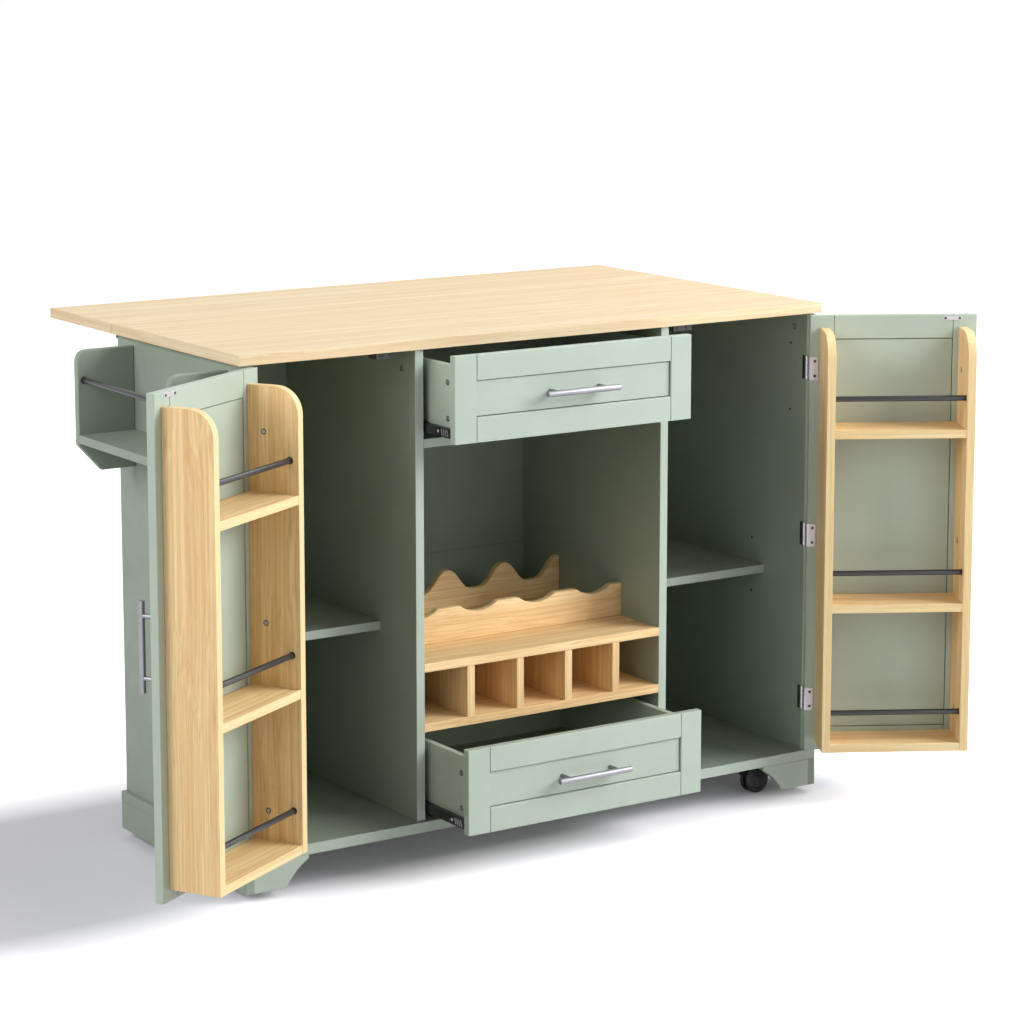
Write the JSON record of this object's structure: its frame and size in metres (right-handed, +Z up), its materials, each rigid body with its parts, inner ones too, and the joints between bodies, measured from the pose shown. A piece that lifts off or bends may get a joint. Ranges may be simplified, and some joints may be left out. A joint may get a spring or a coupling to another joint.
{
  "type": "drop leaf kitchen island",
  "caption": "Rolling kitchen island with a drop leaf, doors carrying spice racks, drawers, a bottle rest, cubbies and a side rack.",
  "frame": {"origin": "centre of the bounding box in plan, on the floor, with doors and drawers open as stored", "axes": "+X to the right seen from the front, along the length; +Y from the front to the leaf at the back; +Z up"},
  "size_m": [1.6844, 0.9368, 0.917],
  "materials": {
    "sage_paint": "satin painted board",
    "oak_board": "satin natural oak",
    "satin_nickel": "satin nickel",
    "black_steel": "satin black",
    "black_plastic": "satin black",
    "grey_plastic": "satin grey"
  },
  "bodies": {
    "carcass": {"worktop": "oak_board", "side_panel_left": "sage_paint", "side_panel_right": "sage_paint", "partition_left": "sage_paint", "partition_right": "sage_paint", "bottom_panel": "sage_paint", "plinth_left": "sage_paint", "plinth_right": "sage_paint", "back_left": "sage_paint", "back_right": "sage_paint", "back_centre_upper": "sage_paint", "back_centre_lower": "sage_paint", "shelf_left": "sage_paint", "shelf_right": "sage_paint", "drawer_divider": "sage_paint", "cubby_top": "oak_board", "cubby_rack": "oak_board", "bottle_rest_front": "oak_board", "bottle_rest_rear": "oak_board", "side_rack_end_front": "sage_paint", "side_rack_end_rear": "sage_paint", "side_rack_shelf": "sage_paint", "side_rack_rod": "black_steel", "magnet_catch_left": "grey_plastic", "magnet_catch_right": "grey_plastic", "door_hinge_1_left": "satin_nickel", "door_hinge_1_right": "satin_nickel", "door_hinge_2_left": "satin_nickel", "door_hinge_2_right": "satin_nickel", "door_hinge_3_left": "satin_nickel", "door_hinge_3_right": "satin_nickel", "leaf_hinge_left": "black_steel", "leaf_hinge_right": "black_steel", "bracket_leg_left": "black_steel", "bracket_leg_right": "black_steel"},
    "leaf": {"drop_leaf": "oak_board", "bracket_arm_left": "black_steel", "bracket_arm_right": "black_steel"},
    "strap_left": {"bracket_strap_left": "black_steel"},
    "strap_right": {"bracket_strap_right": "black_steel"},
    "door_left": {"door_left": "sage_paint", "spice_rack_left": "oak_board", "door_handle_left": "satin_nickel"},
    "door_right": {"door_right": "sage_paint", "spice_rack_right": "oak_board", "door_handle_right": "satin_nickel"},
    "drawer_upper": {"drawer_front_upper": "sage_paint", "drawer_box_upper": "sage_paint", "drawer_handle_upper": "satin_nickel"},
    "drawer_lower": {"drawer_front_lower": "sage_paint", "drawer_box_lower": "sage_paint", "drawer_handle_lower": "satin_nickel"},
    "fork_front_left": {"caster_fork_front_left": "black_plastic"},
    "wheel_front_left": {"caster_wheel_front_left": "black_plastic"},
    "fork_front_right": {"caster_fork_front_right": "black_plastic"},
    "wheel_front_right": {"caster_wheel_front_right": "black_plastic"},
    "fork_rear_left": {"caster_fork_rear_left": "black_plastic"},
    "wheel_rear_left": {"caster_wheel_rear_left": "black_plastic"},
    "fork_rear_right": {"caster_fork_rear_right": "black_plastic"},
    "wheel_rear_right": {"caster_wheel_rear_right": "black_plastic"}
  },
  "joints": [
    {"name": "door_left_swing", "type": "hinge", "parent": "carcass", "child": "door_left", "pos_m": [-0.5735, -0.22908, 0.491], "axis": [0, 0, 1], "range_deg": [-12, 150]},
    {"name": "door_right_swing", "type": "hinge", "parent": "carcass", "child": "door_right", "pos_m": [0.5735, -0.22908, 0.491], "axis": [0, 0, -1], "range_deg": [-12, 150]},
    {"name": "drawer_upper_slide", "type": "slide", "parent": "carcass", "child": "drawer_upper", "axis": [0, -1, 0], "range_m": [-0.0932, 0.2268]},
    {"name": "drawer_lower_slide", "type": "slide", "parent": "carcass", "child": "drawer_lower", "axis": [0, -1, 0], "range_m": [-0.1325, 0.1875]},
    {"name": "leaf_fold", "type": "hinge", "parent": "carcass", "child": "leaf", "pos_m": [0, 0.22282, 0.893], "axis": [-1, 0, 0], "range_deg": [0, 90]},
    {"name": "strap_left_turn", "type": "hinge", "parent": "leaf", "child": "strap_left", "pos_m": [-0.2542, 0.32282, 0.89455], "axis": [1, 0, 0], "range_deg": [0, 136]},
    {"name": "strap_right_turn", "type": "hinge", "parent": "leaf", "child": "strap_right", "pos_m": [0.2542, 0.32282, 0.89455], "axis": [1, 0, 0], "range_deg": [0, 136]},
    {"name": "swivel_front_left", "type": "hinge", "parent": "carcass", "child": "fork_front_left", "pos_m": [-0.525, -0.17558, 0.06], "axis": [0, 0, 1], "continuous": true},
    {"name": "roll_front_left", "type": "hinge", "parent": "fork_front_left", "child": "wheel_front_left", "pos_m": [-0.5434, -0.17558, 0.025], "axis": [0, 1, 0], "continuous": true},
    {"name": "swivel_front_right", "type": "hinge", "parent": "carcass", "child": "fork_front_right", "pos_m": [0.525, -0.17558, 0.06], "axis": [0, 0, 1], "continuous": true},
    {"name": "roll_front_right", "type": "hinge", "parent": "fork_front_right", "child": "wheel_front_right", "pos_m": [0.5066, -0.17558, 0.025], "axis": [0, 1, 0], "continuous": true},
    {"name": "swivel_rear_left", "type": "hinge", "parent": "carcass", "child": "fork_rear_left", "pos_m": [-0.525, 0.15792, 0.06], "axis": [0, 0, 1], "continuous": true},
    {"name": "roll_rear_left", "type": "hinge", "parent": "fork_rear_left", "child": "wheel_rear_left", "pos_m": [-0.5434, 0.15792, 0.025], "axis": [0, 1, 0], "continuous": true},
    {"name": "swivel_rear_right", "type": "hinge", "parent": "carcass", "child": "fork_rear_right", "pos_m": [0.525, 0.15792, 0.06], "axis": [0, 0, 1], "continuous": true},
    {"name": "roll_rear_right", "type": "hinge", "parent": "fork_rear_right", "child": "wheel_rear_right", "pos_m": [0.5066, 0.15792, 0.025], "axis": [0, 1, 0], "continuous": true}
  ],
  "couplings": [
    {"joint": "strap_left_turn", "follows": "leaf_fold", "ratio": 1.4965},
    {"joint": "strap_right_turn", "follows": "leaf_fold", "ratio": 1.4965}
  ]
}
